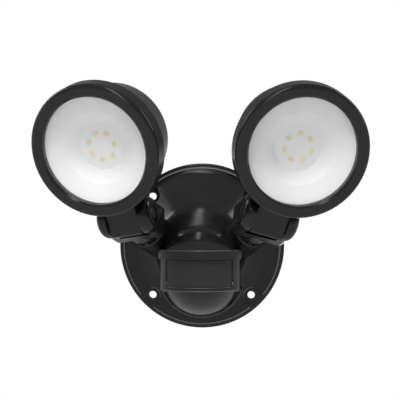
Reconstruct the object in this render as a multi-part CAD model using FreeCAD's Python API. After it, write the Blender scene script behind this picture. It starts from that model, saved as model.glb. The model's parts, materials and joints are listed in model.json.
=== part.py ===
import FreeCAD, Part
import math
import os

os.makedirs("parts", exist_ok=True)

# Two-headed wall light with a motion sensor, millimetres.
# Origin: centre of the canopy's back face. +Z is up, -Y is out from the wall, +X is to the viewer's right.

# Canopy plate
canopy_radius = 62.5
rim_inset = 3.6
rim_depth = 4.0
plateau_depth = 6.0
plate_wall = 2.5
screw_spacing = 74.8
screw_hole_radius = 2.8
screw_pad_radius = 6.1
rim_round = 1.2
gasket_thickness = 1.6
gasket_width = 2.4

# Trumpet flare that rises from the plate and ends in a dome behind the sensor
screw_land = 2.6
flare_outer_radius = screw_spacing / math.sqrt(2) - screw_hole_radius - screw_land + plate_wall
flare_inner_radius = 31.0
dome_round = 16.0
housing_wall = 2.5

# Sensor frame
hood_half_width = 29.5
hood_front_depth = 60.0
hood_bow = 22.0
hood_side_depth = hood_front_depth - hood_bow
brow_reach = 14.0
dome_depth = hood_front_depth - brow_reach
hood_top = 15.6
hood_arch_radius = 31.0
hood_round = 11.0
hood_core_inset = 7.0
hood_lip_out = 1.4
hood_lip_top = -2.0
window_top = -8.6
window_height = 20.2
window_half_width = 24.2
window_wall = 1.6
window_recess = 1.0
window_gap = 0.15
frame_bottom = -31.6
sensor_wall = 2.4

# Sensor cup under the frame
cup_half_width = 32.5
cup_height = 33.0
chin_set_back = 5.0
cup_front = hood_front_depth - chin_set_back
cup_centre_z = -21.5
cup_seam = 0.25
cup_wall = 2.4
dial_pocket_half_width = 13.5
dial_pocket_front = 26.0
dial_pocket_back = 12.0
dial_pocket_ceiling = -43.5
dial_radius = 4.5
dial_height = 4.4
dial_spacing = 15.0
dial_stem_radius = 1.8
dial_stem_length = 4.4
dial_slot_width = 1.2
dial_slot_depth = 1.4
running_gap = 0.3
shaft_fit = 0.05

# Arm sockets and knuckles
pivot_side = 49.6
pivot_out = 69.8
pivot_up = 22.1
socket_turn_out = 23.0
socket_turn_up = 18.0
boss_end_radius = 14.0
boss_root_radius = 14.6
wire_run = 16.0
stem_radius = 10.4
stem_length = 14.0
wire_bore_radius = 4.5
seal_thickness = 1.5
nut_thickness = 4.6
nut_radius = 13.4
nut_flutes = 16
nut_flute_radius = 1.3
collar_radius = 12.8
collar_height = 3.4
cheek_radius = 13.2
cheek_width = 8.4
cheek_round = 5.5
web_half_depth = 11.0
ear_width = 24.0
ear_half_depth = 10.5
ear_reach = 11.5
ear_round = 3.0
slot_gap = 0.3
bolt_radius = 3.0
bolt_head_radius = 5.2
bolt_head_height = 3.4
bolt_recess = 0.6
hex_socket_across = 4.0
hex_socket_depth = 2.0
hinge_nut_across = 9.4
hinge_nut_height = 4.6

# Lamp head, measured back from the lens plane
tilt_rest = 36.4
swivel_rest = {"left": 8.6, "right": 16.0}
head_forward = 23.5
head_rise = 56.7
bezel_radius = 47.5
bezel_opening = 38.4
bezel_front = 2.5
bezel_back = 11.5
bezel_round = 3.4
bezel_chamfer = 1.3
skirt_wall = 2.3
fit_gap = 0.3
lens_thickness = 2.0
gasket_height = 1.0
can_front_radius = 43.8
can_back_radius = 37.5
can_back = 47.0
can_round = 6.0
can_wall = 2.6
reflector_wall = 1.2
reflector_step_radius = 26.0
reflector_step_depth = 7.2
reflector_floor_depth = 13.2
board_radius = 18.0
board_thickness = 1.6
led_count = 7
led_ring_radius = 9.8
led_length = 3.5
led_width = 2.8
led_height = 0.7
head_screw_count = 3
head_screw_radius = 1.5
head_screw_head_radius = 2.9
head_screw_length = 6.0
screw_end_wall = 1.0
fin_count = 7
fin_pitch = 9.0
fin_thickness = 2.0
fin_height = 3.0
fin_sink = 1.0

# Electronics inside
sensor_board_width = 42.0
sensor_board_height = 20.0
circuit_board_thickness = 1.6
detector_radius = 4.6
detector_height = 4.2
detector_clearance = 24.0
driver_board_width = 40.0
driver_board_height = 34.0
driver_board_depth = 13.0
ledge_reach = 4.0
ledge_thickness = 1.8
ledge_half_height = 7.0
transformer_size = 14.0
capacitor_radius = 5.0
capacitor_length = 14.0
cup_screw_radius = 1.6
cup_screw_head_radius = 3.0
cup_screw_length = 8.0
cup_screw_spacing = 40.0

X_AXIS = FreeCAD.Vector(1, 0, 0)
Y_AXIS = FreeCAD.Vector(0, 1, 0)
Z_AXIS = FreeCAD.Vector(0, 0, 1)
OUTWARD = FreeCAD.Vector(0, -1, 0)
FULL_TURN = 360.0


def vec(x, y, z):
    return FreeCAD.Vector(x, y, z)


def save(shape, name):
    shape.exportStep("parts/" + name + ".step")
    print(name, "solids", len(shape.Solids), "volume", round(shape.Volume), "valid", shape.isValid())


def tube(outer, inner, length, base, direction):
    shell = Part.makeCylinder(outer, length, base, direction)
    return shell.cut(Part.makeCylinder(inner, length, base, direction))


def revolve_about(points, axis_point, axis):
    """Turn a closed outline, given as 3-D points, once round the axis."""
    face = Part.Face(Part.makePolygon(points + [points[0]]))
    return face.revolve(axis_point, axis, FULL_TURN)


def edges_near(shape, test):
    return [edge for edge in shape.Edges if test(edge)]


# Canopy plate, with a pad scooped out of the plateau round each wall screw
def screw_centres():
    half = screw_spacing / 2
    return [(x, z) for x in (-half, half) for z in (-half, half)]


def plate_solid():
    plateau_radius = canopy_radius - rim_inset
    rim = Part.makeCylinder(canopy_radius, rim_depth, vec(0, 0, 0), OUTWARD)
    front = edges_near(rim, lambda e: abs(e.CenterOfMass.y + rim_depth) < 0.01 and e.Length > canopy_radius)
    rim = rim.makeFillet(rim_round, front)
    plateau = Part.makeCylinder(plateau_radius, plateau_depth, vec(0, 0, 0), OUTWARD)
    plateau = plateau.fuse(flare_solid(0))
    for x, z in screw_centres():
        base = vec(x, -rim_depth, z)
        plateau = plateau.cut(Part.makeCylinder(screw_pad_radius, hood_front_depth, base, OUTWARD))
        outside = vec(x, 0, z).normalize() * canopy_radius
        slot = Part.makeBox(2 * screw_pad_radius, hood_front_depth, canopy_radius,
                            vec(-screw_pad_radius, -rim_depth - hood_front_depth, 0))
        slot.rotate(vec(0, 0, 0), Y_AXIS, math.degrees(math.atan2(outside.x, outside.z)))
        slot.translate(vec(x, 0, z))
        plateau = plateau.cut(slot)
    return rim.fuse(plateau)


def flare_solid(inset):
    """Turned form: a hollow quarter round up from the plateau, a neck and a rounded end."""
    spread = flare_outer_radius - flare_inner_radius
    hollow = vec(flare_outer_radius, -plateau_depth - spread, 0)
    hollow_radius = spread + inset
    slope = hollow_radius / math.sqrt(2)
    start = vec(flare_outer_radius - inset, hollow.y + math.sqrt(hollow_radius ** 2 - inset ** 2), 0)
    neck = vec(flare_inner_radius - inset, hollow.y, 0)
    flare = Part.Arc(start, vec(hollow.x - slope, hollow.y + slope, 0), neck).toShape()
    end = vec(flare_inner_radius - dome_round, dome_round - dome_depth, 0)
    end_radius = dome_round - inset
    slope = end_radius / math.sqrt(2)
    shoulder = vec(neck.x, end.y, 0)
    brow = vec(end.x, end.y - end_radius, 0)
    dome = Part.Arc(shoulder, vec(end.x + slope, end.y - slope, 0), brow).toShape()
    lines = [Part.makeLine(neck, shoulder), Part.makeLine(brow, vec(0, brow.y, 0)),
             Part.makeLine(vec(0, brow.y, 0), vec(0, 0, 0)), Part.makeLine(vec(0, 0, 0), vec(start.x, 0, 0)),
             Part.makeLine(vec(start.x, 0, 0), start)]
    outline = Part.Wire(Part.__sortEdges__([flare, dome] + lines))
    return Part.Face(outline).revolve(vec(0, 0, 0), Y_AXIS, FULL_TURN)


def bow_wire(half_width, side_depth, front_depth, z):
    a = vec(-half_width, 0, z)
    b = vec(-half_width, -side_depth, z)
    c = vec(half_width, -side_depth, z)
    d = vec(half_width, 0, z)
    bow = Part.Arc(b, vec(0, -front_depth, z), c).toShape()
    return Part.Wire([Part.makeLine(a, b), bow, Part.makeLine(c, d), Part.makeLine(d, a)])


# Sensor frame: bowed block with an arched top, a hood lip and a window
def bow_block(half_width, side_depth, front_depth, z_low, z_high):
    return Part.Face(bow_wire(half_width, side_depth, front_depth, z_low)).extrude(vec(0, 0, z_high - z_low))


def under_arch(inset):
    """Everything under the sensor's arched top; inset gives a lower arch."""
    radius = hood_arch_radius - inset
    middle = hood_top - hood_arch_radius
    arch = Part.makeCylinder(radius, 2 * hood_front_depth, vec(0, 0, middle), OUTWARD)
    block = Part.makeBox(2 * radius, 2 * hood_front_depth, canopy_radius,
                         vec(-radius, -2 * hood_front_depth, middle - canopy_radius))
    return arch.fuse(block)


def sensor_block():
    body = bow_block(hood_half_width, hood_side_depth, hood_front_depth, frame_bottom, hood_top)
    body = body.common(under_arch(0))
    brow = edges_near(body, lambda e: e.CenterOfMass.z > hood_lip_top and e.CenterOfMass.y < -hood_side_depth)
    body = body.makeFillet(hood_round, brow)
    lip = bow_block(hood_half_width + hood_lip_out, hood_side_depth + hood_lip_out,
                    hood_front_depth + hood_lip_out, window_top, hood_lip_top)
    return body.fuse(lip)


def window_space():
    return Part.makeBox(2 * window_half_width, hood_front_depth, window_height,
                        vec(-window_half_width, -hood_front_depth - hood_half_width,
                            window_top - window_height))


def sensor_cavity():
    low = bow_block(hood_half_width - sensor_wall, hood_side_depth - sensor_wall,
                    hood_front_depth - sensor_wall, frame_bottom + sensor_wall, hood_lip_top)
    high = bow_block(hood_half_width - hood_core_inset, hood_side_depth - hood_core_inset,
                     hood_front_depth - hood_core_inset, hood_lip_top, hood_top)
    return low.common(under_arch(sensor_wall)).fuse(high.common(under_arch(hood_core_inset)))


def pir_window():
    outer = bow_block(hood_half_width, hood_side_depth, hood_front_depth - window_recess,
                      window_top - window_height + window_gap, window_top - window_gap)
    inner = bow_block(hood_half_width - window_wall, hood_side_depth - window_wall,
                      hood_front_depth - window_recess - window_wall,
                      window_top - window_height, window_top)
    band = Part.makeBox(2 * (window_half_width - window_gap), hood_front_depth, window_height,
                        vec(-window_half_width + window_gap, -hood_front_depth - hood_half_width,
                            window_top - window_height))
    return outer.cut(inner).common(band)


# Sensor cup: an egg-shaped underside that meets the plate
def cup_egg(inset):
    ball = Part.makeSphere(1.0)
    matrix = FreeCAD.Matrix()
    matrix.scale(vec(cup_half_width - inset, cup_front - inset, cup_height - inset))
    egg = ball.transformGeometry(matrix)
    egg.translate(vec(0, 0, cup_centre_z))
    return egg


def below(z):
    size = 4 * canopy_radius
    return Part.makeBox(size, size, size, vec(-size / 2, -size, z - size))


def front_of(depth):
    size = 4 * canopy_radius
    return Part.makeBox(size, size, size, vec(-size / 2, -depth - size, -size / 2))


def dial_centres():
    y = -(dial_pocket_front + dial_pocket_back) / 2
    return {"time_dial": vec(-dial_spacing / 2, y, dial_pocket_ceiling),
            "range_dial": vec(dial_spacing / 2, y, dial_pocket_ceiling)}


def cup_screw_centres():
    y = -(dial_pocket_front + dial_pocket_back) / 2
    return [vec(side * cup_screw_spacing / 2, y, 0) for side in (-1, 1)]


def sensor_cup():
    top = frame_bottom - cup_seam
    start = plateau_depth + cup_seam
    cup = cup_egg(0).common(below(top)).common(front_of(start))
    hollow = cup_egg(cup_wall).common(below(top)).common(front_of(start + cup_wall))
    pocket = Part.makeBox(2 * dial_pocket_half_width, dial_pocket_front - dial_pocket_back, cup_height,
                          vec(-dial_pocket_half_width, -dial_pocket_front, dial_pocket_ceiling - cup_height))
    tray = Part.makeBox(2 * (dial_pocket_half_width + cup_wall),
                        dial_pocket_front - dial_pocket_back + 2 * cup_wall, cup_height,
                        vec(-dial_pocket_half_width - cup_wall, -dial_pocket_front - cup_wall,
                            dial_pocket_ceiling + cup_wall - cup_height))
    cup = cup.cut(hollow).fuse(tray.common(cup_egg(0))).cut(pocket).cut(flare_solid(-cup_seam))
    for centre in dial_centres().values():
        cup = cup.cut(Part.makeCylinder(dial_stem_radius + shaft_fit, cup_height, centre, Z_AXIS))
    for centre in cup_screw_centres():
        base = vec(centre.x, centre.y, top - cup_height)
        post = Part.makeCylinder(cup_screw_head_radius + cup_wall, cup_height, base, Z_AXIS)
        cup = cup.fuse(post.common(cup_egg(0)))
        cup = cup.cut(Part.makeCylinder(cup_screw_radius + shaft_fit, cup_height, base, Z_AXIS))
        head_room = top - cup_screw_length / 2
        cup = cup.cut(Part.makeCylinder(cup_screw_head_radius + fit_gap, cup_height,
                                        vec(centre.x, centre.y, head_room - cup_height), Z_AXIS))
    return cup.removeSplitter()


def cup_screws():
    screws = []
    for centre in cup_screw_centres():
        seat = vec(centre.x, centre.y, frame_bottom - cup_seam - cup_screw_length / 2)
        head = Part.makeCylinder(cup_screw_head_radius, cup_screw_radius, seat - Z_AXIS * cup_screw_radius,
                                 Z_AXIS)
        shank = Part.makeCylinder(cup_screw_radius, cup_screw_length - sensor_wall, seat, Z_AXIS)
        screws.append(head.fuse(shank))
    return Part.makeCompound(screws)


def dial(centre):
    top = centre - Z_AXIS * running_gap
    knob = Part.makeCylinder(dial_radius, dial_height, top - Z_AXIS * dial_height, Z_AXIS)
    stem = Part.makeCylinder(dial_stem_radius, dial_stem_length, top, Z_AXIS)
    slot = Part.makeBox(2 * dial_radius, dial_slot_width, dial_slot_depth,
                        vec(top.x - dial_radius, top.y - dial_slot_width / 2, top.z - dial_height))
    return knob.fuse(stem).cut(slot)


# Knuckle frames: the swivel axis, the hinge axis and the optical axis of one side
def side_sign(side):
    return -1 if side == "left" else 1


def turned(vector, axis, degrees):
    return FreeCAD.Rotation(axis, degrees).multVec(vector)


def knuckle_frame(side):
    sign = side_sign(side)
    out = math.radians(socket_turn_out)
    up = math.radians(socket_turn_up)
    swivel_axis = vec(sign * math.sin(out) * math.cos(up), -math.cos(out) * math.cos(up), math.sin(up))
    level_hinge = vec(math.cos(out), sign * math.sin(out), 0)
    hinge = turned(level_hinge, swivel_axis, -sign * swivel_rest[side])
    optical = turned(swivel_axis, hinge, tilt_rest)
    pivot = vec(sign * pivot_side, -pivot_out, pivot_up)
    return pivot, swivel_axis, hinge, optical


def placed(shape, origin, x_dir, z_dir):
    """Move a shape from its own frame to one with the given origin, X and Z directions."""
    y_dir = z_dir.cross(x_dir)
    matrix = FreeCAD.Matrix(x_dir.x, y_dir.x, z_dir.x, origin.x,
                            x_dir.y, y_dir.y, z_dir.y, origin.y,
                            x_dir.z, y_dir.z, z_dir.z, origin.z, 0, 0, 0, 1)
    moved = shape.copy()
    moved.Placement = FreeCAD.Placement(matrix).multiply(moved.Placement)
    return moved


def arm_placed(shape, side):
    pivot, swivel_axis, hinge, _ = knuckle_frame(side)
    return placed(shape, pivot, hinge, swivel_axis)


def head_placed(shape, side):
    pivot, _, hinge, optical = knuckle_frame(side)
    return placed(shape, pivot, hinge, hinge.cross(optical * -1))


# Distances down the swivel axis from the hinge: slot floor, collar, nut, seal, socket end
slot_radius = math.hypot(ear_half_depth, ear_reach) + slot_gap
collar_top = slot_radius + collar_height
nut_top = collar_top + collar_height
seal_top = nut_top + nut_thickness + running_gap
socket_end = seal_top + seal_thickness


def down_axis(radius, start, end):
    return Part.makeCylinder(radius, end - start, vec(0, 0, -end), Z_AXIS)


def socket_boss():
    """A cone from the socket's end down to the wall plane."""
    slant = math.cos(math.radians(socket_turn_out)) * math.cos(math.radians(socket_turn_up))
    root = pivot_out / slant
    return Part.makeCone(boss_root_radius, boss_end_radius, root - socket_end, vec(0, 0, -root), Z_AXIS)


def socket_bore():
    bore = down_axis(stem_radius + shaft_fit, socket_end - fit_gap, socket_end + stem_length + fit_gap)
    return bore.fuse(down_axis(wire_bore_radius, socket_end, socket_end + stem_length + wire_run))


def across_pin(radius, half_length):
    """A cylinder on the hinge axis, as long on one side as on the other."""
    return Part.makeCylinder(radius, 2 * half_length, vec(-half_length, 0, 0), X_AXIS)


def knuckle_arm():
    half_slot = ear_width / 2 + slot_gap
    half_length = half_slot + cheek_width
    barrel = across_pin(cheek_radius, half_length)
    barrel = barrel.makeFillet(cheek_round, edges_near(barrel, lambda e: e.Length > 6 * cheek_radius))
    web = Part.makeBox(2 * half_length, 2 * web_half_depth, collar_top,
                       vec(-half_length, -web_half_depth, -collar_top))
    upright = edges_near(web, lambda e: abs(e.Vertexes[0].Z - e.Vertexes[1].Z) > 1)
    foot = edges_near(web, lambda e: abs(e.CenterOfMass.z + collar_top) < 0.01 and abs(e.CenterOfMass.x) > 1)
    web = web.makeFillet(cheek_round * 0.7, upright + foot)
    neck = Part.makeCone(collar_radius, web_half_depth, collar_height * 2, vec(0, 0, -nut_top), Z_AXIS)
    arm = barrel.fuse(web).fuse(neck)
    slot = across_pin(slot_radius, half_slot)
    mouth = Part.makeBox(2 * half_slot, 2 * slot_radius, slot_radius, vec(-half_slot, -slot_radius, 0))
    arm = arm.cut(slot).cut(mouth)
    arm = arm.fuse(down_axis(stem_radius, nut_top, socket_end + stem_length))
    arm = arm.cut(down_axis(wire_bore_radius, 0, socket_end + stem_length))
    arm = arm.cut(across_pin(bolt_radius + shaft_fit, half_length))
    recess = bolt_head_height + bolt_recess
    arm = arm.cut(Part.makeCylinder(bolt_head_radius + fit_gap, recess, vec(half_length - recess, 0, 0),
                                    X_AXIS))
    recess = hinge_nut_height + bolt_recess
    arm = arm.cut(hexagon(hinge_nut_across + 2 * fit_gap, recess, -half_length))
    return arm.removeSplitter()


def hexagon(across, length, x):
    corner = across / 2 / math.cos(math.radians(30))
    points = [vec(x, corner * math.cos(math.radians(60 * i)), corner * math.sin(math.radians(60 * i)))
              for i in range(6)]
    return Part.Face(Part.makePolygon(points + [points[0]])).extrude(vec(length, 0, 0))


def hinge_bolt():
    half_length = ear_width / 2 + slot_gap + cheek_width
    under_head = half_length - bolt_head_height - bolt_recess
    head = Part.makeCylinder(bolt_head_radius, bolt_head_height, vec(under_head, 0, 0), X_AXIS)
    shank = Part.makeCylinder(bolt_radius, under_head + half_length - bolt_recess,
                              vec(bolt_recess - half_length, 0, 0), X_AXIS)
    key = hexagon(hex_socket_across, hex_socket_depth, under_head + bolt_head_height - hex_socket_depth)
    return head.fuse(shank).cut(key)


def hinge_nut():
    half_length = ear_width / 2 + slot_gap + cheek_width
    nut = hexagon(hinge_nut_across, hinge_nut_height, bolt_recess - half_length)
    return nut.cut(across_pin(bolt_radius + shaft_fit, half_length))


def lock_nut():
    nut = down_axis(nut_radius, nut_top, nut_top + nut_thickness)
    nut = nut.cut(down_axis(stem_radius + shaft_fit, nut_top, nut_top + nut_thickness))
    for index in range(nut_flutes):
        angle = 2 * math.pi * index / nut_flutes
        foot = vec(nut_radius * math.cos(angle), nut_radius * math.sin(angle), -nut_top - nut_thickness)
        nut = nut.cut(Part.makeCylinder(nut_flute_radius, nut_thickness, foot, Z_AXIS))
    return nut


def arm_seal():
    ring = down_axis(boss_end_radius - fit_gap, seal_top, socket_end)
    return ring.cut(down_axis(stem_radius + running_gap, seal_top, socket_end))


# Lamp head, in its own frame: hinge on X at the origin, light towards -Y, can above the hinge
def head_point(radius, depth):
    return vec(0, depth - head_forward, head_rise + radius)


def head_axis_point(depth):
    return vec(0, depth - head_forward, head_rise)


def head_disc(radius, depth, length):
    return Part.makeCylinder(radius, length, head_axis_point(depth), Y_AXIS)


def head_turned(points):
    return revolve_about([head_point(r, t) for r, t in points], head_axis_point(0), Y_AXIS)


skirt_bore = bezel_radius - skirt_wall
lens_radius = skirt_bore - fit_gap
seat_depth = lens_thickness + gasket_height
shell_front_radius = skirt_bore - fit_gap


def lamp_housing():
    can = head_turned([(0, seat_depth), (shell_front_radius, seat_depth),
                       (shell_front_radius, bezel_back - fit_gap), (can_front_radius, bezel_back + fit_gap),
                       (can_back_radius, can_back), (0, can_back)])
    rear = edges_near(can, lambda e: abs(e.CenterOfMass.y - can_back + head_forward) < 0.01
                      and e.Length > 6 * can_back_radius)
    can = can.makeFillet(can_round, rear)
    for index in range(fin_count):
        x = (index - (fin_count - 1) / 2) * fin_pitch
        half = math.sqrt((can_back_radius - can_round) ** 2 - x * x)
        can = can.fuse(Part.makeBox(fin_thickness, fin_height + fin_sink, 2 * half,
                                    vec(x - fin_thickness / 2, can_back - head_forward - fin_sink,
                                        head_rise - half)))
    ear_top = head_rise - can_back_radius + can_wall
    ear = Part.makeBox(ear_width, 2 * ear_half_depth, ear_reach + ear_top,
                       vec(-ear_width / 2, -ear_half_depth, -ear_reach))
    foot = edges_near(ear, lambda e: abs(e.CenterOfMass.z + ear_reach) < 0.01 and abs(e.CenterOfMass.x) < 0.01)
    ear = ear.makeFillet(ear_round, foot)
    can = can.fuse(ear)
    inner = bezel_opening + fit_gap
    pad = reflector_floor_depth + board_thickness
    cavity = head_turned([(0, seat_depth), (inner, seat_depth), (inner, bezel_back),
                          (can_back_radius - can_wall, can_back - can_round), (board_radius + can_wall,
                           can_back - can_round), (board_radius + can_wall, pad), (0, pad)])
    can = can.cut(cavity)
    can = can.cut(across_pin(bolt_radius + shaft_fit, ear_width / 2))
    for angle in head_screw_angles():
        can = can.cut(head_screw_hole(angle))
    return can.removeSplitter()


def head_screw_angles():
    return [90 + FULL_TURN * index / head_screw_count for index in range(head_screw_count)]


def head_screw_foot(angle, radius):
    turn = math.radians(angle)
    return vec(radius * math.cos(turn), (seat_depth + bezel_back) / 2 - head_forward,
               head_rise + radius * math.sin(turn))


def head_screw_direction(angle):
    turn = math.radians(angle)
    return vec(math.cos(turn), 0, math.sin(turn))


def head_screw_hole(angle):
    inner = head_screw_foot(angle, bezel_opening + screw_end_wall)
    return Part.makeCylinder(head_screw_radius + shaft_fit, head_screw_length * 2, inner,
                             head_screw_direction(angle))


def bezel_screws():
    screws = []
    for angle in head_screw_angles():
        direction = head_screw_direction(angle)
        seat = head_screw_foot(angle, bezel_radius - skirt_wall / 2)
        shank = Part.makeCylinder(head_screw_radius, head_screw_length - skirt_wall, seat, direction * -1)
        head = Part.makeCylinder(head_screw_head_radius, skirt_wall / 2, seat, direction)
        screws.append(head.fuse(shank))
    return Part.makeCompound(screws)


def bezel():
    ring = head_turned([(bezel_opening, -bezel_front + bezel_chamfer), (bezel_opening + bezel_chamfer, -bezel_front),
                        (bezel_radius, -bezel_front), (bezel_radius, bezel_back), (skirt_bore, bezel_back),
                        (skirt_bore, 0), (bezel_opening, 0)])
    front = edges_near(ring, lambda e: abs(e.CenterOfMass.y + bezel_front + head_forward) < 0.01
                       and e.Length > 2 * math.pi * (bezel_radius - bezel_round))
    ring = ring.makeFillet(bezel_round, front)
    for angle in head_screw_angles():
        ring = ring.cut(head_screw_hole(angle))
        seat = head_screw_foot(angle, bezel_radius - skirt_wall / 2)
        ring = ring.cut(Part.makeCylinder(head_screw_head_radius + shaft_fit, skirt_wall, seat,
                                          head_screw_direction(angle)))
    return ring


def lens():
    return head_disc(lens_radius, 0, lens_thickness)


def lens_gasket():
    ring = head_disc(lens_radius, lens_thickness, gasket_height)
    return ring.cut(head_disc(bezel_opening + fit_gap, lens_thickness, gasket_height))


def reflector():
    start = seat_depth
    wall = reflector_wall
    return head_turned([(bezel_opening, start), (reflector_step_radius, reflector_step_depth),
                        (board_radius - wall, reflector_floor_depth), (board_radius, reflector_floor_depth),
                        (reflector_step_radius + wall, reflector_step_depth + wall), (bezel_opening, start + wall)])


def led_board():
    return head_disc(board_radius, reflector_floor_depth, board_thickness)


def led_chips():
    chips = []
    for index in range(led_count):
        angle = FULL_TURN * index / led_count
        chip = Part.makeBox(led_width, led_height, led_length,
                            vec(led_ring_radius - led_width / 2, reflector_floor_depth - led_height - head_forward,
                                -led_length / 2))
        chip.rotate(vec(0, 0, 0), Y_AXIS, angle)
        chip.translate(vec(0, 0, head_rise))
        chips.append(chip)
    return Part.makeCompound(chips)


# Electronics
def sensor_board_front():
    return hood_front_depth - window_recess - window_wall - detector_clearance


def sensor_board():
    middle = window_top - window_height / 2
    return Part.makeBox(sensor_board_width, circuit_board_thickness, sensor_board_height,
                        vec(-sensor_board_width / 2, -sensor_board_front(), middle - sensor_board_height / 2))


def pir_detector():
    middle = window_top - window_height / 2
    return Part.makeCylinder(detector_radius, detector_height, vec(0, -sensor_board_front(), middle), OUTWARD)


def board_ledges(board_width, board_face, middle, wall_at):
    """A ledge on each side wall, which a board's front face is screwed against."""
    inner = board_width / 2 - ledge_reach
    left = Part.makeBox(wall_at - inner, ledge_thickness, 2 * ledge_half_height,
                        vec(-wall_at, -board_face - ledge_thickness, middle - ledge_half_height))
    right = Part.makeBox(wall_at - inner, ledge_thickness, 2 * ledge_half_height,
                         vec(inner, -board_face - ledge_thickness, middle - ledge_half_height))
    return left.fuse(right)


def driver_board():
    return Part.makeBox(driver_board_width, circuit_board_thickness, driver_board_height,
                        vec(-driver_board_width / 2, -driver_board_depth, -driver_board_height / 2))


def driver_components():
    face = -driver_board_depth
    box = Part.makeBox(transformer_size, transformer_size, transformer_size,
                       vec(-driver_board_width / 2 + ledge_reach, face - transformer_size, -transformer_size / 2))
    can = Part.makeCylinder(capacitor_radius, capacitor_length,
                            vec(driver_board_width / 2 - ledge_reach - capacitor_radius, face - capacitor_radius,
                                -capacitor_length / 2), Z_AXIS)
    return Part.makeCompound([box, can])


def wall_gasket():
    outer = canopy_radius - rim_inset
    return tube(outer, outer - gasket_width, gasket_thickness, vec(0, 0, 0), OUTWARD)


def canopy_housing():
    body = plate_solid().fuse(sensor_block())
    for side in ("left", "right"):
        body = body.fuse(arm_placed(socket_boss(), side).common(front_of(plateau_depth)))
    body = body.cut(flare_solid(housing_wall)).cut(sensor_cavity())
    back_pocket = Part.makeCylinder(flare_outer_radius - plate_wall, plateau_depth - plate_wall,
                                    vec(0, 0, 0), OUTWARD)
    outer = canopy_radius - rim_inset
    groove = tube(outer, outer - gasket_width, gasket_thickness, vec(0, 0, 0), OUTWARD)
    body = body.cut(back_pocket).cut(groove).cut(window_space())
    body = body.fuse(board_ledges(driver_board_width, driver_board_depth, 0, flare_inner_radius))
    body = body.fuse(board_ledges(sensor_board_width, sensor_board_front(), window_top - window_height / 2,
                                  hood_half_width - sensor_wall / 2))
    for side in ("left", "right"):
        body = body.cut(arm_placed(socket_bore(), side))
    for x, z in screw_centres():
        body = body.cut(Part.makeCylinder(screw_hole_radius, rim_depth, vec(x, 0, z), OUTWARD))
    for centre in cup_screw_centres():
        base = vec(centre.x, centre.y, frame_bottom)
        body = body.cut(Part.makeCylinder(cup_screw_radius + shaft_fit, cup_screw_length / 2, base, Z_AXIS))
    return body


ROOT_PIECES = {"canopy_housing": canopy_housing, "wall_gasket": wall_gasket, "sensor_cup": sensor_cup,
               "cup_screws": cup_screws, "pir_window": pir_window, "pir_detector": pir_detector,
               "sensor_board": sensor_board, "driver_board": driver_board,
               "driver_components": driver_components}
ARM_PIECES = {"knuckle_arm": knuckle_arm, "lock_nut": lock_nut, "arm_seal": arm_seal, "hinge_bolt": hinge_bolt,
              "hinge_nut": hinge_nut}
HEAD_PIECES = {"lamp_housing": lamp_housing, "bezel": bezel, "lens": lens, "lens_gasket": lens_gasket,
               "reflector": reflector, "led_board": led_board, "led_chips": led_chips,
               "bezel_screws": bezel_screws}

for name, make in ROOT_PIECES.items():
    save(make(), name)
for name, centre in dial_centres().items():
    save(dial(centre), name)
for name, make in ARM_PIECES.items():
    shape = make()
    for side in ("left", "right"):
        save(arm_placed(shape, side), side + "_" + name)
for name, make in HEAD_PIECES.items():
    shape = make()
    for side in ("left", "right"):
        save(head_placed(shape, side), side + "_" + name)

for side in ("left", "right"):
    pivot, swivel_axis, hinge, optical = knuckle_frame(side)
    print(side, "pivot", pivot, "swivel axis", swivel_axis, "hinge axis", hinge, "optical axis", optical)
    print(side, "lens centre", pivot + optical * head_forward + hinge.cross(optical * -1) * head_rise)
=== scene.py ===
# %% [markdown]
# A wall light with two round lamp heads, a round canopy and a motion sensor between the heads.
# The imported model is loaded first. It holds every part at its real size, in metres, with +Z up and
# the wall behind, at Y = 0. Everything made below is fitted round it.

# %% Load the frame
import json
import math
import bmesh
import bpy
from mathutils import Matrix, Vector


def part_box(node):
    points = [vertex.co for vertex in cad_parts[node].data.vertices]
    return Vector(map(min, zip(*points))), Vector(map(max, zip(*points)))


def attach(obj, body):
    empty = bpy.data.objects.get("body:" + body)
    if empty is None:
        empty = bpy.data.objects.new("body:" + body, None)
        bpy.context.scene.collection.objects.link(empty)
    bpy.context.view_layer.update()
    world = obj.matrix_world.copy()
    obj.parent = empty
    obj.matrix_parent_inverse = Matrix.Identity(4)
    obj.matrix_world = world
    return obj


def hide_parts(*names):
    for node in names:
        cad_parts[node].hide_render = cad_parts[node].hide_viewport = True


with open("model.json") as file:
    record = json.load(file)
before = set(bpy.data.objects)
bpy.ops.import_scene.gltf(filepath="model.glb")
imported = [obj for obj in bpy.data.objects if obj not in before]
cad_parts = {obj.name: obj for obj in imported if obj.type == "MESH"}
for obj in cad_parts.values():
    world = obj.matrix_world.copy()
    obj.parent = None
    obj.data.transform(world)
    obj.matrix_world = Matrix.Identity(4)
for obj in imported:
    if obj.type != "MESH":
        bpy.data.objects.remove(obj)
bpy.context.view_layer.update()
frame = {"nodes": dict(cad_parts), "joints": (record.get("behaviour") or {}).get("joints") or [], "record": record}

MM = 0.001
SIDES = ("left", "right")
scene = bpy.context.scene
nodes = frame["nodes"]
joints = {joint["name"]: joint for joint in frame["joints"]}

# %% [markdown]
# The camera stands about a metre off, level, and a little to the viewer's right of the middle.
# A long lens keeps the round parts round. The focal length follows from the size of the canopy:
# it is 125 mm across and fills about 164 of the 400 pixels of the image's width.

# %% Camera
CAMERA_DISTANCE = 1.0
CAMERA_TURN = math.radians(2.6)
SENSOR_WIDTH = 36.0
IMAGE_PIXELS = 400
CANOPY_PIXELS = 163.68
CANOPY_MIDDLE_PIXEL = (202.17, 245.37)

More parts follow.
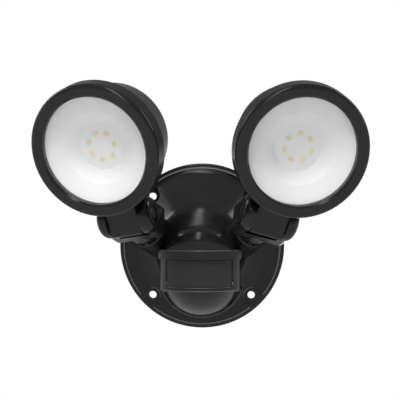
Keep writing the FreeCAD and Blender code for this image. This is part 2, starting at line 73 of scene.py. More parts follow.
canopy_low, canopy_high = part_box("canopy_housing")
canopy_width = canopy_high[0] - canopy_low[0]
metres_per_pixel = canopy_width / CANOPY_PIXELS
aim_side = (IMAGE_PIXELS / 2 - CANOPY_MIDDLE_PIXEL[0]) * metres_per_pixel
aim_height = (CANOPY_MIDDLE_PIXEL[1] - IMAGE_PIXELS / 2) * metres_per_pixel

camera_data = bpy.data.cameras.new("camera")
camera_data.sensor_width = SENSOR_WIDTH
camera_data.lens = SENSOR_WIDTH * CAMERA_DISTANCE / (IMAGE_PIXELS * metres_per_pixel)
camera = bpy.data.objects.new("camera", camera_data)
camera_side = aim_side * math.cos(CAMERA_TURN) + CAMERA_DISTANCE * math.sin(CAMERA_TURN)
camera_back = aim_side * math.sin(CAMERA_TURN) - CAMERA_DISTANCE * math.cos(CAMERA_TURN)
camera.location = (camera_side, camera_back, aim_height)
camera.rotation_euler = (math.radians(90), 0, CAMERA_TURN)
scene.collection.objects.link(camera)
bpy.context.scene.camera = camera
print("focal length", round(camera_data.lens, 1), "mm, camera at", [round(c, 4) for c in camera.location])

# %% [markdown]
# Black plastic shows almost nothing but reflections, so the light is what draws its shape. In the
# photo the surfaces that look upward are the darkest, and those that look ahead or down are lighter:
# the room is dim above and pale below, with a soft change at the level of the camera. It is a little
# brighter behind the object, and a bright sheet low behind it picks out the undersides. Light Path
# tells the white that the camera sees from the room that the plastic mirrors. No film curve is used,
# so white stays white.

# %% Room
ROOM_ABOVE = 0.18
ROOM_BELOW = 0.40
ROOM_BEHIND = 0.12
SHEET_BELOW_BEHIND = 3.0
WHITE = (1.0, 1.0, 1.0, 1.0)
# Where each glow begins and where it is full, on the direction of sight: Z is up, Y is to the back.
BELOW_LIMITS = (0.10, -0.10)
BEHIND_LIMITS = (0.75, 0.98)
SHEET_Y_LIMITS = (0.90, 0.97)
SHEET_Z_LIMITS = (-0.02, -0.20)

scene.view_settings.view_transform = "Standard"
world = bpy.data.worlds.new("pale_studio")
scene.world = world
world.use_nodes = True
room_tree = world.node_tree
sight = room_tree.nodes.new("ShaderNodeTexCoord")
direction = room_tree.nodes.new("ShaderNodeSeparateXYZ")
room_tree.links.new(sight.outputs["Generated"], direction.inputs["Vector"])


def room_glow(axis, limits, brightness):
    """Brightness that rises smoothly from nothing to its full value, along one axis of sight."""
    node = room_tree.nodes.new("ShaderNodeMapRange")
    node.interpolation_type = "SMOOTHSTEP"
    room_tree.links.new(direction.outputs[axis], node.inputs["Value"])
    node.inputs["From Min"].default_value = limits[0]
    node.inputs["From Max"].default_value = limits[1]
    node.inputs["To Min"].default_value = 0.0
    node.inputs["To Max"].default_value = brightness
    return node.outputs["Result"]


def room_math(operation, first, second):
    """The sum or product of two values, each a number or another node's output."""
    node = room_tree.nodes.new("ShaderNodeMath")
    node.operation = operation
    for socket, value in zip(node.inputs, (first, second)):
        if isinstance(value, float):
            socket.default_value = value
        else:
            room_tree.links.new(value, socket)
    return node.outputs["Value"]


below = room_glow("Z", BELOW_LIMITS, ROOM_BELOW)
behind = room_glow("Y", BEHIND_LIMITS, ROOM_BEHIND)
sheet_y = room_glow("Y", SHEET_Y_LIMITS, 1.0)
sheet_z = room_glow("Z", SHEET_Z_LIMITS, SHEET_BELOW_BEHIND)
low_sheet = room_math("MULTIPLY", sheet_y, sheet_z)
below_and_behind = room_math("ADD", below, behind)
sheet_and_above = room_math("ADD", low_sheet, ROOM_ABOVE)
room_light = room_math("ADD", below_and_behind, sheet_and_above)
print("room above", ROOM_ABOVE, "below", ROOM_BELOW, "behind", ROOM_BEHIND)

# %% [markdown]
# The world has two backgrounds. The camera sees the plain white one, and everything else sees the
# room with its dim top and pale bottom.

# %% White behind the object
room = room_tree.nodes["Background"]
room.inputs["Color"].default_value = WHITE
room_tree.links.new(room_light, room.inputs["Strength"])
backdrop = room_tree.nodes.new("ShaderNodeBackground")
backdrop.inputs["Color"].default_value = WHITE
light_path = room_tree.nodes.new("ShaderNodeLightPath")
chooser = room_tree.nodes.new("ShaderNodeMixShader")
room_tree.links.new(light_path.outputs["Is Camera Ray"], chooser.inputs["Fac"])
room_tree.links.new(room.outputs["Background"], chooser.inputs[1])
room_tree.links.new(backdrop.outputs["Background"], chooser.inputs[2])
world_output = room_tree.nodes["World Output"]
room_tree.links.new(chooser.outputs["Shader"], world_output.inputs["Surface"])
print("world nodes", len(room_tree.nodes))

# %% [markdown]
# A square key light high in front fills the white cups. The plastic would mirror it as a hard shape,
# so glossy rays leave it out. A tall, narrow strip light gives the upright stripe on the dome. Two
# narrow side lights stand higher than the object and a little behind it, one on either hand, for the
# bright patches on its shoulders.

# %% Soft boxes
LIGHT_AIM = (0.0, -0.06, 0.03)
# Name, place, width, height, watts, and whether glossy surfaces mirror it.
SOFT_BOXES = (
    ("key_light", (-0.16, -0.84, 1.18), 0.50, 0.50, 28.0, False),
    ("strip_light", (-0.07, -0.80, 0.85), 0.20, 1.30, 2.2, True),
    ("left_side_light", (-0.85, 0.22, 0.52), 0.13, 0.65, 1.3, True),
    ("right_side_light", (0.85, 0.22, 0.52), 0.13, 0.65, 1.2, True),
)


def soft_box(name, place, width, height, watts, mirrored):
    """A rectangular area light that looks at the middle of the object."""
    data = bpy.data.lights.new(name, "AREA")
    data.shape = "RECTANGLE"
    data.size = width
    data.size_y = height
    data.energy = watts
    lamp = bpy.data.objects.new(name, data)
    lamp.location = place
    lamp.rotation_euler = (Vector(LIGHT_AIM) - Vector(place)).to_track_quat("-Z", "Y").to_euler()
    lamp.visible_glossy = mirrored
    scene.collection.objects.link(lamp)


for box in SOFT_BOXES:
    soft_box(*box)
print("lights", [box[0] for box in SOFT_BOXES])

# %% [markdown]
# The floor is a plain pale sheet well below the light, which hangs on a wall. It only lightens the
# undersides, as a studio table does, and it isn't part of the object. The gloss doesn't mirror it.

# %% Floor
FLOOR_DROP = 0.30
FLOOR_HALF = 0.9
floor_height = canopy_low[2] - FLOOR_DROP


def plain_material(name, colour, roughness):
    """A material with one colour and one roughness."""
    material = bpy.data.materials.new(name)
    material.use_nodes = True
    shader = material.node_tree.nodes["Principled BSDF"]
    shader.inputs["Base Color"].default_value = (*colour, 1.0)
    shader.inputs["Roughness"].default_value = roughness
    return material, shader


floor_mesh = bpy.data.meshes.new("floor")
sheet = bmesh.new()
bmesh.ops.create_grid(sheet, x_segments=1, y_segments=1, size=FLOOR_HALF)
bmesh.ops.translate(sheet, verts=sheet.verts, vec=(0, 0, floor_height))
sheet.to_mesh(floor_mesh)
sheet.free()
floor_mesh.materials.append(plain_material("pale_floor", (0.85, 0.85, 0.85), 0.7)[0])
floor = bpy.data.objects.new("floor", floor_mesh)
scene.collection.objects.link(floor)
floor.visible_glossy = False
print("floor at", round(floor_height, 3))

# %% [markdown]
# Every finish is made from noise that sits in the piece's own space, so it stays put when the
# piece moves. Moulded plastic is never quite flat: a slow noise bends its reflections a little, as
# sink marks do, and a fine one gives it the skin that it takes from the mould. The slow noise also
# shifts the colour a little, and the fine one the roughness.

# %% A finish from noise
SLOW_SCALE = 38
SLOW_DETAIL = 2.0
FINE_DETAIL = 3.0
TONE_ENDS = (0.3, 0.7)
ROUGHNESS_SPREAD = 0.05
LEAST_ROUGHNESS = 0.02
GRAIN_SCALE = 2600
GRAIN_HEIGHT = 0.01 * MM
TONE = 0.12


def noise_node(tree, scale, detail):
    """Noise in the piece's own space."""
    where = tree.nodes.new("ShaderNodeTexCoord")
    node = tree.nodes.new("ShaderNodeTexNoise")
    node.inputs["Scale"].default_value = scale
    node.inputs["Detail"].default_value = detail
    tree.links.new(where.outputs["Object"], node.inputs["Vector"])
    return node.outputs["Fac"]


def noisy_roughness(tree, shader, noise, smoothest, roughest):
    """Lets a noise vary the roughness between two values."""
    rough = tree.nodes.new("ShaderNodeMapRange")
    rough.inputs["To Min"].default_value = smoothest
    rough.inputs["To Max"].default_value = roughest
    tree.links.new(noise, rough.inputs["Value"])
    tree.links.new(rough.outputs["Result"], shader.inputs["Roughness"])


def finish(name, colour, roughness, grain_scale=GRAIN_SCALE, grain_height=GRAIN_HEIGHT, tone=TONE,
           wave_height=0.0, metallic=0.0, specular=0.5):
    """A material whose colour, roughness and height vary with noise."""
    material, shader = plain_material(name, colour, roughness)
    shader.inputs["Metallic"].default_value = metallic
    shader.inputs["Specular IOR Level"].default_value = specular
    tree = material.node_tree
    slow = noise_node(tree, SLOW_SCALE, SLOW_DETAIL)
    fine = noise_node(tree, grain_scale, FINE_DETAIL)
    shade = tree.nodes.new("ShaderNodeValToRGB")
    for stop, position, factor in zip(shade.color_ramp.elements, TONE_ENDS, (1 - tone, 1 + tone)):
        stop.position = position
        stop.color = (*[min(1.0, c * factor) for c in colour], 1)
    tree.links.new(slow, shade.inputs["Fac"])
    tree.links.new(shade.outputs["Color"], shader.inputs["Base Color"])
    smoothest = max(LEAST_ROUGHNESS, roughness - ROUGHNESS_SPREAD)
    noisy_roughness(tree, shader, fine, smoothest, roughness + ROUGHNESS_SPREAD)
    bump = tree.nodes.new("ShaderNodeBump")
    bump.inputs["Distance"].default_value = grain_height
    tree.links.new(fine, bump.inputs["Height"])
    if wave_height:
        wave = tree.nodes.new("ShaderNodeBump")
        wave.inputs["Distance"].default_value = wave_height
        tree.links.new(slow, wave.inputs["Height"])
        tree.links.new(wave.outputs["Normal"], bump.inputs["Normal"])
    tree.links.new(bump.outputs["Normal"], shader.inputs["Normal"])
    return material


black_plastic = finish("satin_black_moulding", (0.008, 0.008, 0.0085), 0.19, wave_height=0.03 * MM)
print("finish", black_plastic.name, "nodes", len(black_plastic.node_tree.nodes))

# %% [markdown]
# The other finishes are made the same way, from their colour and roughness. The infrared window is
# a smoked plastic, the fasteners are steel, and the cups behind the lenses are a soft, even white.

# %% Finishes
smoked_plastic = finish("smoked_window", (0.016, 0.016, 0.017), 0.24, grain_height=0.004 * MM)
dark_rubber = finish("grey_rubber", (0.045, 0.045, 0.045), 0.75, grain_height=0.03 * MM)
coated_steel = finish("black_coated_steel", (0.02, 0.02, 0.02), 0.38, metallic=0.6)
bright_steel = finish("zinc_steel", (0.55, 0.55, 0.56), 0.32, metallic=1.0)
green_board = finish("green_circuit_board", (0.02, 0.17, 0.07), 0.35)
dull_black = finish("dull_black_component", (0.03, 0.03, 0.03), 0.6)
dial_grey = finish("dial_grey", (0.08, 0.08, 0.08), 0.5)
white_reflector = finish("white_reflector", (0.80, 0.80, 0.795), 0.42, tone=0.01, grain_scale=1500)
white_board = finish("white_led_board", (0.84, 0.84, 0.83), 0.5, tone=0.01)
phosphor = finish("pale_phosphor", (0.86, 0.72, 0.30), 0.35, tone=0.05)
package_white = finish("led_package", (0.74, 0.71, 0.58), 0.4, tone=0.02)
# Painted highlight: a grey far lighter than the black plastic, given to the fine beads along moulded edges so that
# they show as pale highlight lines. Its high specular is real gloss.
painted_highlight_finish = finish("painted_highlight_edge", (0.075, 0.075, 0.075), 0.22, specular=1.0)
print("finishes", len(bpy.data.materials))

# %% [markdown]
# The lens is a flat disc of clear glass. What shows of it is only a faint sheen over the white
# cup, so it is nearly see-through, and light passes on to the cup behind it.

# %% Clear lens
LENS_ALPHA = 0.08
LENS_NOISE_SCALE = 900
LENS_SMOOTHEST = 0.02
LENS_ROUGHEST = 0.05
clear_lens, lens_shader = plain_material("clear_lens", (0.95, 0.97, 0.98), 0.03)
lens_shader.inputs["Alpha"].default_value = LENS_ALPHA
lens_noise = noise_node(clear_lens.node_tree, LENS_NOISE_SCALE, SLOW_DETAIL)
noisy_roughness(clear_lens.node_tree, lens_shader, lens_noise, LENS_SMOOTHEST, LENS_ROUGHEST)
print("lens alpha", LENS_ALPHA)

# %% [markdown]
# Each slot of the record has one finish, so a node finds its finish by its slot.

# %% Finish for every slot
FINISH_OF_SLOT = {
    "black_housing": black_plastic,
    "grey_rubber": dark_rubber,
    "zinc_steel": bright_steel,
    "smoked_window": smoked_plastic,
    "detector_can": bright_steel,
    "circuit_board": green_board,
    "black_component": dull_black,
    "dial_plastic": dial_grey,
    "black_steel": coated_steel,
    "clear_lens": clear_lens,
    "white_reflector": white_reflector,
    "white_board": white_board,
    "led_phosphor": phosphor,
}
slot_of_node = {row["node"]: row["material_slot"] for row in frame["record"]["subparts"]}
for name, node in nodes.items():
    node.data.materials.clear()
    node.data.materials.append(FINISH_OF_SLOT[slot_of_node[name]])
print("finished nodes", len(nodes))

# %% [markdown]
# Every new piece moves with the body of an imported part and gets the finishes it is given. One helper
# turns a finished bmesh into such a piece, so that no piece is left behind when a joint moves.

# %% Adding a piece
body_names = frame["record"]["behaviour"]["bodies"]
BODY_OF_NODE = {name: body for body, names in body_names.items() for name in names}


def add_piece(name, work, finishes, node):
    """Makes a bmesh an object that rides with a part's body and has the given finishes."""
    mesh = bpy.data.meshes.new(name)
    work.to_mesh(mesh)
    work.free()
    for material in finishes:
        mesh.materials.append(material)
    piece = bpy.data.objects.new(name, mesh)
    scene.collection.objects.link(piece)
    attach(piece, BODY_OF_NODE[node])
    print(name, "faces", len(mesh.polygons), "moves with", BODY_OF_NODE[node])
    return piece


# %% [markdown]
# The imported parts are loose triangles. A moulded part catches light on its softened edges, so each
# part is copied, its triangles are merged, its flat faces are joined again, and its sharp edges get
# a small rounding. The copy then stands for the part.

# %% Softened copies
MERGE_DISTANCE = 0.002 * MM
FLAT_ANGLE = math.radians(0.6)
SHARP_ANGLE = math.radians(32)
EDGE_SEGMENTS = 2
EDGE_ROUNDING = {"canopy_housing": 0.5 * MM, "sensor_cup": 0.3 * MM, "pir_window": 0.3 * MM}
for side in SIDES:
    EDGE_ROUNDING[side + "_knuckle_arm"] = 0.35 * MM
    EDGE_ROUNDING[side + "_lamp_housing"] = 0.35 * MM
    EDGE_ROUNDING[side + "_bezel"] = 0.25 * MM
    EDGE_ROUNDING[side + "_lock_nut"] = 0.2 * MM


def smooth_but_sharp(work):
    """Smooth faces that stay apart along their sharp edges."""
    for face in work.faces:
        face.smooth = True
    for edge in work.edges:
        edge.smooth = edge.calc_face_angle(0.0) < SHARP_ANGLE


def softened(name, width):
    """A merged copy of a part with rounded sharp edges, which stands for the part."""
    work = bmesh.new()
    work.from_mesh(nodes[name].data)
    bmesh.ops.remove_doubles(work, verts=work.verts, dist=MERGE_DISTANCE)
    bmesh.ops.dissolve_limit(work, angle_limit=FLAT_ANGLE, verts=work.verts, edges=work.edges,
                             delimit={"NORMAL"})
    smooth_but_sharp(work)
    piece = add_piece(name + "_finished", work, [FINISH_OF_SLOT[slot_of_node[name]]], name)
    bevel = piece.modifiers.new("edge", "BEVEL")
    bevel.width = width
    bevel.segments = EDGE_SEGMENTS
    bevel.limit_method = "ANGLE"
    bevel.angle_limit = SHARP_ANGLE
    weighted = piece.modifiers.new("flat_faces_stay_flat", "WEIGHTED_NORMAL")
    weighted.keep_sharp = True
    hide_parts(name)


for name, width in EDGE_ROUNDING.items():
    softened(name, width)
print("softened parts", len(EDGE_ROUNDING))

# %% [markdown]
# The upper half of the canopy swells into one smooth dome that carries the sensor's hood. Seen from
# the side it rises from the edge of the plateau in a small hollow curve, climbs as a cone and rolls
# over at the top. This cell gives its height above the wall at any distance from its middle.

# %% Side line of the dome
CANOPY_RADIUS = canopy_width / 2
DOME_FOOT_RADIUS = CANOPY_RADIUS - 4.5 * MM
PLATEAU_DEPTH = 6 * MM
DOME_TOP_DEPTH = 46.6 * MM
DOME_SLOPE = math.radians(53)
DOME_HOLLOW = 4.5 * MM
DOME_ROLL = 26 * MM

hollow_end = DOME_FOOT_RADIUS - DOME_HOLLOW * math.sin(DOME_SLOPE)
hollow_rise = DOME_HOLLOW * (1 - math.cos(DOME_SLOPE))
roll_start_depth = DOME_TOP_DEPTH - DOME_ROLL * (1 - math.cos(DOME_SLOPE))
cone_run = (roll_start_depth - PLATEAU_DEPTH - hollow_rise) / math.tan(DOME_SLOPE)
roll_start = hollow_end - cone_run
dome_core = roll_start - DOME_ROLL * math.sin(DOME_SLOPE)


def dome_depth(radius):
    """Distance from the wall at a radius: flat top, roll, cone and hollow foot."""
    if radius <= dome_core:
        return DOME_TOP_DEPTH
    if radius <= roll_start:
        return DOME_TOP_DEPTH - DOME_ROLL + math.sqrt(DOME_ROLL ** 2 - (radius - dome_core) ** 2)
    if radius <= hollow_end:
        return roll_start_depth - (radius - roll_start) * math.tan(DOME_SLOPE)
    if radius < DOME_FOOT_RADIUS:
        to_foot = DOME_FOOT_RADIUS - radius
        return PLATEAU_DEPTH + DOME_HOLLOW - math.sqrt(DOME_HOLLOW ** 2 - to_foot ** 2)
    return PLATEAU_DEPTH


print("dome core", round(dome_core / MM, 1), "mm, roll from", round(roll_start / MM, 1), "mm")

# %% [markdown]
# Seen from the front the dome is full over its upper part and draws in towards the sockets. Round
# each wall screw it is scooped away, so that a screwdriver reaches the screw. This cell gives the
# distance from the middle at which the dome starts, for any angle from straight up.

# %% Foot line of the dome
DOME_FULL_ANGLE = math.radians(50)
DOME_FADE_ANGLE = math.radians(104)
DOME_FADED = 0.50
SCREW_CIRCLE = 53.03 * MM
SCREW_ANGLE = math.radians(45)
SCREW_REACH = math.radians(30)
SCREW_PAD = 6.1 * MM


def pad_edge(to_screw):
    """Radius of the inner edge of a screw pad, at an angle from the screw, or None beside the pad."""
    across = SCREW_CIRCLE * math.sin(to_screw)
    if to_screw < SCREW_REACH and across < SCREW_PAD:
        return SCREW_CIRCLE * math.cos(to_screw) - math.sqrt(SCREW_PAD ** 2 - across ** 2)
    return None


def dome_width(angle):
    """1 over the upper part, and less towards the sides and the bottom."""
    step = (abs(angle) - DOME_FULL_ANGLE) / (DOME_FADE_ANGLE - DOME_FULL_ANGLE)
    step = min(1.0, max(0.0, step))
    return 1 - (1 - DOME_FADED) * step * step * (3 - 2 * step)


def dome_start(angle):
    """Radius where the dome begins, nearer the middle where a screw pad is scooped out."""
    foot = dome_core + (DOME_FOOT_RADIUS - dome_core) * dome_width(angle)
    scoop = pad_edge(abs(abs(angle) - SCREW_ANGLE))
    return foot if scoop is None else min(foot, scoop)


print("dome starts at", [round(dome_start(math.radians(a)) / MM, 1) for a in (0, 45, 90, 180)], "mm")

# %% [markdown]
# A shape that goes round an axis, but isn't the same all round, can't be spun. It is drawn out ring
# by ring instead: every ring is an extruded copy of the last one, whose points are then set at their
# own places. The first ring stays open, and the last one may be closed by a face.

# %% Drawing out rings
WALL_MIDDLE = Vector((0, 0, 0))
FROM_THE_WALL = Vector((0, -1, 0))
FACE_THE_WALL = Matrix.Rotation(math.radians(90), 3, "X")


def set_round(vert, angle, radius, depth):
    """Puts a point at an angle from straight up, a radius and a distance from the wall."""
    vert.co = Vector((radius * math.sin(angle), -depth, radius * math.cos(angle)))


def drawn_rings(columns, radius, turn, foot, rows, set_row, outward, closed):
    """A shell of rings about an axis, with its faces turned outward."""
    work = bmesh.new()
    bmesh.ops.create_circle(work, segments=columns, radius=radius)
    bmesh.ops.rotate(work, verts=work.verts, matrix=turn)
    bmesh.ops.translate(work, verts=work.verts, vec=foot)
    set_row(work.verts, 0)
    ring = list(work.edges)
    for row in range(1, rows):
        drawn = bmesh.ops.extrude_edge_only(work, edges=ring)["geom"]
        set_row([part for part in drawn if isinstance(part, bmesh.types.BMVert)], row)
        edges = [part for part in drawn if isinstance(part, bmesh.types.BMEdge)]
        ring = [edge for edge in edges if len(edge.link_faces) == 1]
    if closed:
        bmesh.ops.contextual_create(work, geom=ring)
    bmesh.ops.recalc_face_normals(work, faces=work.faces)
    if sum(face.normal.dot(outward) * face.calc_area() for face in work.faces) < 0:
        bmesh.ops.reverse_faces(work, faces=work.faces)
    for face in work.faces:
        face.smooth = True
    return work


print("rings on the wall look along", list(FROM_THE_WALL))

# %% [markdown]
# The dome itself has a ring on the floor of the screw pads, one on the plateau, and the rest climb
# to the flat top, which one face closes. A subdivided and pulled disc could give the swell too, but
# not the crisp scoops round the screws.

# %% Canopy dome
SCREW_PAD_DEPTH = 4 * MM
DOME_COLUMNS = 540
DOME_ROWS = 30


def set_dome_row(verts, row):
    """Row 0 lies on the floor of the screw pads, row 1 on the plateau, and the last at the top."""
    for vert in verts:
        angle = math.atan2(vert.co.x, vert.co.z)
        start = dome_start(angle)
        along = max(0, row - 1) / (DOME_ROWS - 1)
        radius = start + (dome_core - start) * along
        depth = SCREW_PAD_DEPTH
        if row > 0:
            depth = dome_depth(dome_core + (radius - dome_core) / dome_width(angle))
        set_round(vert, angle, radius, depth)


dome = drawn_rings(DOME_COLUMNS, CANOPY_RADIUS, FACE_THE_WALL, WALL_MIDDLE, DOME_ROWS + 1,
                   set_dome_row, FROM_THE_WALL, closed=True)
smooth_but_sharp(dome)
add_piece("canopy_dome", dome, [black_plastic], "canopy_housing")

# %% [markdown]
# The edge of the plateau is a crisp moulded line that runs round the canopy and dips in at every
# screw pad. It is a fine bead, drawn out along the same scalloped outline as the step below it, and
# its pale grey is a painted highlight.

# %% Plateau edge
PLATEAU_RADIUS = CANOPY_RADIUS - 3.6 * MM
QUARTER_TURN = math.radians(90)
# Each row of the bead, in millimetres: how far out from the step, and how far from the wall.
BEAD_SECTION = ((-0.65, 5.8), (-0.5, 6.5), (-0.15, 6.8), (0.4, 6.4), (0.9, 5.6), (1.0, 4.0))


def set_bead_row(verts, row):
    """Sets one row of the bead along the edge of the plateau and round the screw pads."""
    out, depth = BEAD_SECTION[row]
    for vert in verts:
        angle = math.atan2(vert.co.x, vert.co.z)
        scoop = pad_edge(abs(abs(abs(angle) - QUARTER_TURN) - SCREW_ANGLE))
        step = PLATEAU_RADIUS if scoop is None else scoop
        set_round(vert, angle, step + out * MM, depth * MM)


bead = drawn_rings(2 * DOME_COLUMNS, CANOPY_RADIUS, FACE_THE_WALL, WALL_MIDDLE, len(BEAD_SECTION),
                   set_bead_row, FROM_THE_WALL, closed=False)
add_piece("plateau_edge", bead, [painted_highlight_finish], "canopy_housing")

# %% [markdown]
# Fine moulded lines cross the front of the sensor: the edge of the hood's lip, the lower edge of the
# window's opening and the seam above the cup. Each is a bead with a round section, which is turned
# about a middle, from half its turn on one side of its start to half its turn on the other. The
# beads on the sensor are painted a pale grey as a painted highlight.

# %% A bead along an arc
BEAD_RADIUS = 0.30 * MM
BEAD_SIDES = 10
BEAD_STEPS = 64
AXES = {"Y": (0, 1, 0), "Z": (0, 0, 1)}


def arc_bead(radius, start, middle, axis, half_turn):
    """A round bead about a middle, with closed ends, its section square to X at the start."""
    work = bmesh.new()
    bmesh.ops.create_circle(work, segments=BEAD_SIDES, radius=radius)
    bmesh.ops.rotate(work, verts=work.verts, matrix=Matrix.Rotation(math.radians(90), 3, "Y"))
    bmesh.ops.translate(work, verts=work.verts, vec=start)
    bmesh.ops.rotate(work, verts=work.verts, cent=middle, matrix=Matrix.Rotation(-half_turn, 3, axis))
    bmesh.ops.spin(work, geom=list(work.edges), cent=middle, axis=AXES[axis], angle=2 * half_turn,
                   steps=BEAD_STEPS)
    bmesh.ops.holes_fill(work, edges=work.edges, sides=BEAD_SIDES)
    bmesh.ops.recalc_face_normals(work, faces=work.faces)
    for face in work.faces:
        face.smooth = len(face.verts) == 4
    return work


def bow_bead(name, half_width, side_depth, front_depth, height, radius=BEAD_RADIUS):
    """A bead along an arc through the two side corners and the front middle of the sensor."""
    rise = front_depth - side_depth
    bow_radius = (half_width ** 2 + rise ** 2) / (2 * rise)
    middle = Vector((0, bow_radius - front_depth, height))
    start = middle - Vector((0, bow_radius, 0))
    work = arc_bead(radius, start, middle, "Z", math.asin(half_width / bow_radius))
    # Painted highlight: the bead gets the pale grey that stands in for a highlight line.
    add_piece(name, work, [painted_highlight_finish], "canopy_housing")


print("a bead has", BEAD_SIDES, "sides and", BEAD_STEPS, "steps")

# %% [markdown]
# The three lines follow the bow of the hood, which is deeper in the middle than at its sides. The
# lip stands out from it, and the other two lie almost flush.

# %% Lines on the sensor
HOOD_HALF_WIDTH = 29.5 * MM
HOOD_SIDE_DEPTH = 38 * MM
HOOD_FRONT_DEPTH = 60 * MM
HOOD_LIP_OUT = 1.4 * MM
HOOD_LIP_HEIGHT = -2.0 * MM
HOOD_LIP_RADIUS = 0.38 * MM
SILL_WIDTH_SHARE = 0.82
SILL_SIDE_FORWARD = 8.6 * MM
SILL_DROP = 0.15 * MM
SILL_RADIUS = 0.22 * MM
FRAME_BOTTOM = -31.6 * MM
SEAM_RISE = 0.35 * MM
LINE_SUNK = 0.1 * MM
window_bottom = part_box("pir_window")[0][2]
lip = HOOD_LIP_OUT - BEAD_RADIUS

bow_bead("hood_lip_line", HOOD_HALF_WIDTH + lip, HOOD_SIDE_DEPTH + lip, HOOD_FRONT_DEPTH + lip,
         HOOD_LIP_HEIGHT, HOOD_LIP_RADIUS)
bow_bead("window_sill_line", SILL_WIDTH_SHARE * HOOD_HALF_WIDTH, HOOD_SIDE_DEPTH + SILL_SIDE_FORWARD,
         HOOD_FRONT_DEPTH - LINE_SUNK, window_bottom - SILL_DROP, SILL_RADIUS)
bow_bead("frame_seam_line", HOOD_HALF_WIDTH - LINE_SUNK, HOOD_SIDE_DEPTH - LINE_SUNK,
         HOOD_FRONT_DEPTH - LINE_SUNK, FRAME_BOTTOM + SEAM_RISE)

# %% [markdown]
# Where the cup meets the canopy its edge is turned out into a thin rounded lip. Its pale line round
# the underside is partly real gloss on the lip and partly a painted highlight, from the bead's grey
# that is lighter than the black. It is a bead turned about the middle of the cup, from one end of the
# seam under the frame down and round to the other.

# %% Cup rim
CUP_RIM_RADIUS = 32.5 * MM
CUP_RIM_DEPTH = 7.2 * MM
CUP_RIM_BEAD = 0.55 * MM
CUP_RIM_GAP = 0.4 * MM
CUP_MIDDLE_HEIGHT = -21.6 * MM
rim_reach = math.acos((CUP_MIDDLE_HEIGHT - FRAME_BOTTOM + CUP_RIM_GAP) / CUP_RIM_RADIUS)
rim_middle = Vector((0, -CUP_RIM_DEPTH, CUP_MIDDLE_HEIGHT))
rim_start = rim_middle - Vector((0, 0, CUP_RIM_RADIUS))
rim = arc_bead(CUP_RIM_BEAD, rim_start, rim_middle, "Y", rim_reach)
add_piece("cup_rim", rim, [painted_highlight_finish], "sensor_cup")

# %% [markdown]
# The hinge bolt sits in a round recess of the cheek. From the front the real cheek looks plain, so
# a moulded cap closes the recess. It is drawn out ring by ring as a low dome round the hinge axis,
# lies almost flush with the cheek, and moves with the arm.

# %% Bolt caps
CAP_RADIUS = 5.4 * MM
CAP_COLUMNS = 48
# Each ring of the cap: its share of the radius, and how far it stands out in millimetres.
CAP_SECTION = ((1.0, -0.9), (1.0, 0.0), (0.93, 0.25), (0.60, 0.45), (0.25, 0.52))


def farthest_along(name, point, axis):
    """Greatest distance of a part's points from a point, along an axis."""
    return max((vert.co - point).dot(axis) for vert in nodes[name].data.vertices)


def bolt_cap(side):
    """A cap on the end of a hinge bolt, square to the hinge axis."""
    hinge = joints[side + "_head_tilt"]
    axis = Vector(hinge["axis"]).normalized()
    pivot = Vector(hinge["pos_m"])
    turn = axis.to_track_quat("Z", "Y").to_matrix()
    foot = pivot + axis * farthest_along(side + "_hinge_bolt", pivot, axis)

    def set_cap_row(verts, row):
        share, rise = CAP_SECTION[row]
        for vert in verts:
            flat = turn.transposed() @ (vert.co - foot)
            flat.z = 0
            flat = flat.normalized() * CAP_RADIUS * share
            vert.co = foot + turn @ Vector((flat.x, flat.y, rise * MM))

    work = drawn_rings(CAP_COLUMNS, CAP_RADIUS, turn, foot, len(CAP_SECTION),
                       set_cap_row, axis, closed=True)
    add_piece(side + "_bolt_cap", work, [black_plastic], side + "_hinge_bolt")


for side in SIDES:
    bolt_cap(side)

# %% [markdown]
# The front ring of each bezel ends in a fine raised line, just where its outer edge starts to round.
# It is a bead with a round section, turned once about the middle of the lens.

# %% Lines on the bezels
BEZEL_LINE_RADIUS = 44.3 * MM
BEZEL_LINE_STEPS = 160
BEZEL_LINE_SUNK = 0.18 * MM


def toward_viewer(normal):
    """The same direction, turned so that it leaves the wall."""
    return -normal if normal.y > 0 else normal.copy()


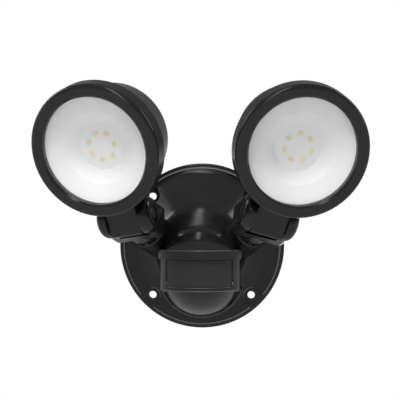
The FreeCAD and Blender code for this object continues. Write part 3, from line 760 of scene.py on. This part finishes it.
def bezel_line(side):
    """A full turn of a round bead on the front of a bezel."""
    lens = nodes[side + "_lens"].data
    widest = max(lens.polygons, key=lambda face: face.area)
    axis = toward_viewer(widest.normal)
    middle = sum((vert.co for vert in lens.vertices), Vector()) / len(lens.vertices)
    centre = middle + axis * (farthest_along(side + "_bezel", middle, axis) - BEZEL_LINE_SUNK)
    across = axis.orthogonal().normalized()
    section = Matrix((across, axis, across.cross(axis))).transposed()
    work = bmesh.new()
    bmesh.ops.create_circle(work, segments=BEAD_SIDES, radius=BEAD_RADIUS)
    bmesh.ops.rotate(work, verts=work.verts, matrix=section)
    bmesh.ops.translate(work, verts=work.verts, vec=centre + across * BEZEL_LINE_RADIUS)
    bmesh.ops.spin(work, geom=list(work.edges), cent=centre, axis=axis, angle=2 * math.pi,
                   steps=BEZEL_LINE_STEPS, use_merge=True)
    bmesh.ops.recalc_face_normals(work, faces=work.faces)
    for face in work.faces:
        face.smooth = True
    add_piece(side + "_bezel_line", work, [black_plastic], side + "_bezel")


for side in SIDES:
    bezel_line(side)

# %% [markdown]
# A surface-mounted LED is a white package with a window of yellow phosphor in its face. Each chip's
# front face is inset, the middle sinks a little and keeps the phosphor, and the rest turns white.

# %% LED packages
PACKAGE_RIM = 0.30 * MM
PHOSPHOR_SUNK = 0.12 * MM
SAME_WAY = 0.99


def led_packages(side):
    """The chips of one lamp, each with a white rim round its phosphor, which stand for the node."""
    name = side + "_led_chips"
    work = bmesh.new()
    work.from_mesh(nodes[name].data)
    bmesh.ops.remove_doubles(work, verts=work.verts, dist=MERGE_DISTANCE)
    bmesh.ops.dissolve_limit(work, angle_limit=FLAT_ANGLE, verts=work.verts, edges=work.edges)
    largest = max(work.faces, key=lambda face: face.calc_area())
    outward = toward_viewer(largest.normal)
    fronts = [face for face in work.faces if face.normal.dot(outward) > SAME_WAY]
    bmesh.ops.inset_individual(work, faces=fronts, thickness=PACKAGE_RIM, depth=-PHOSPHOR_SUNK)
    for face in work.faces:
        face.material_index = 1 if face in fronts else 0
    print(name, "packages", len(fronts))
    piece = add_piece(side + "_led_packages", work, [package_white, phosphor], name)
    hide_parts(name)


for side in SIDES:
    led_packages(side)
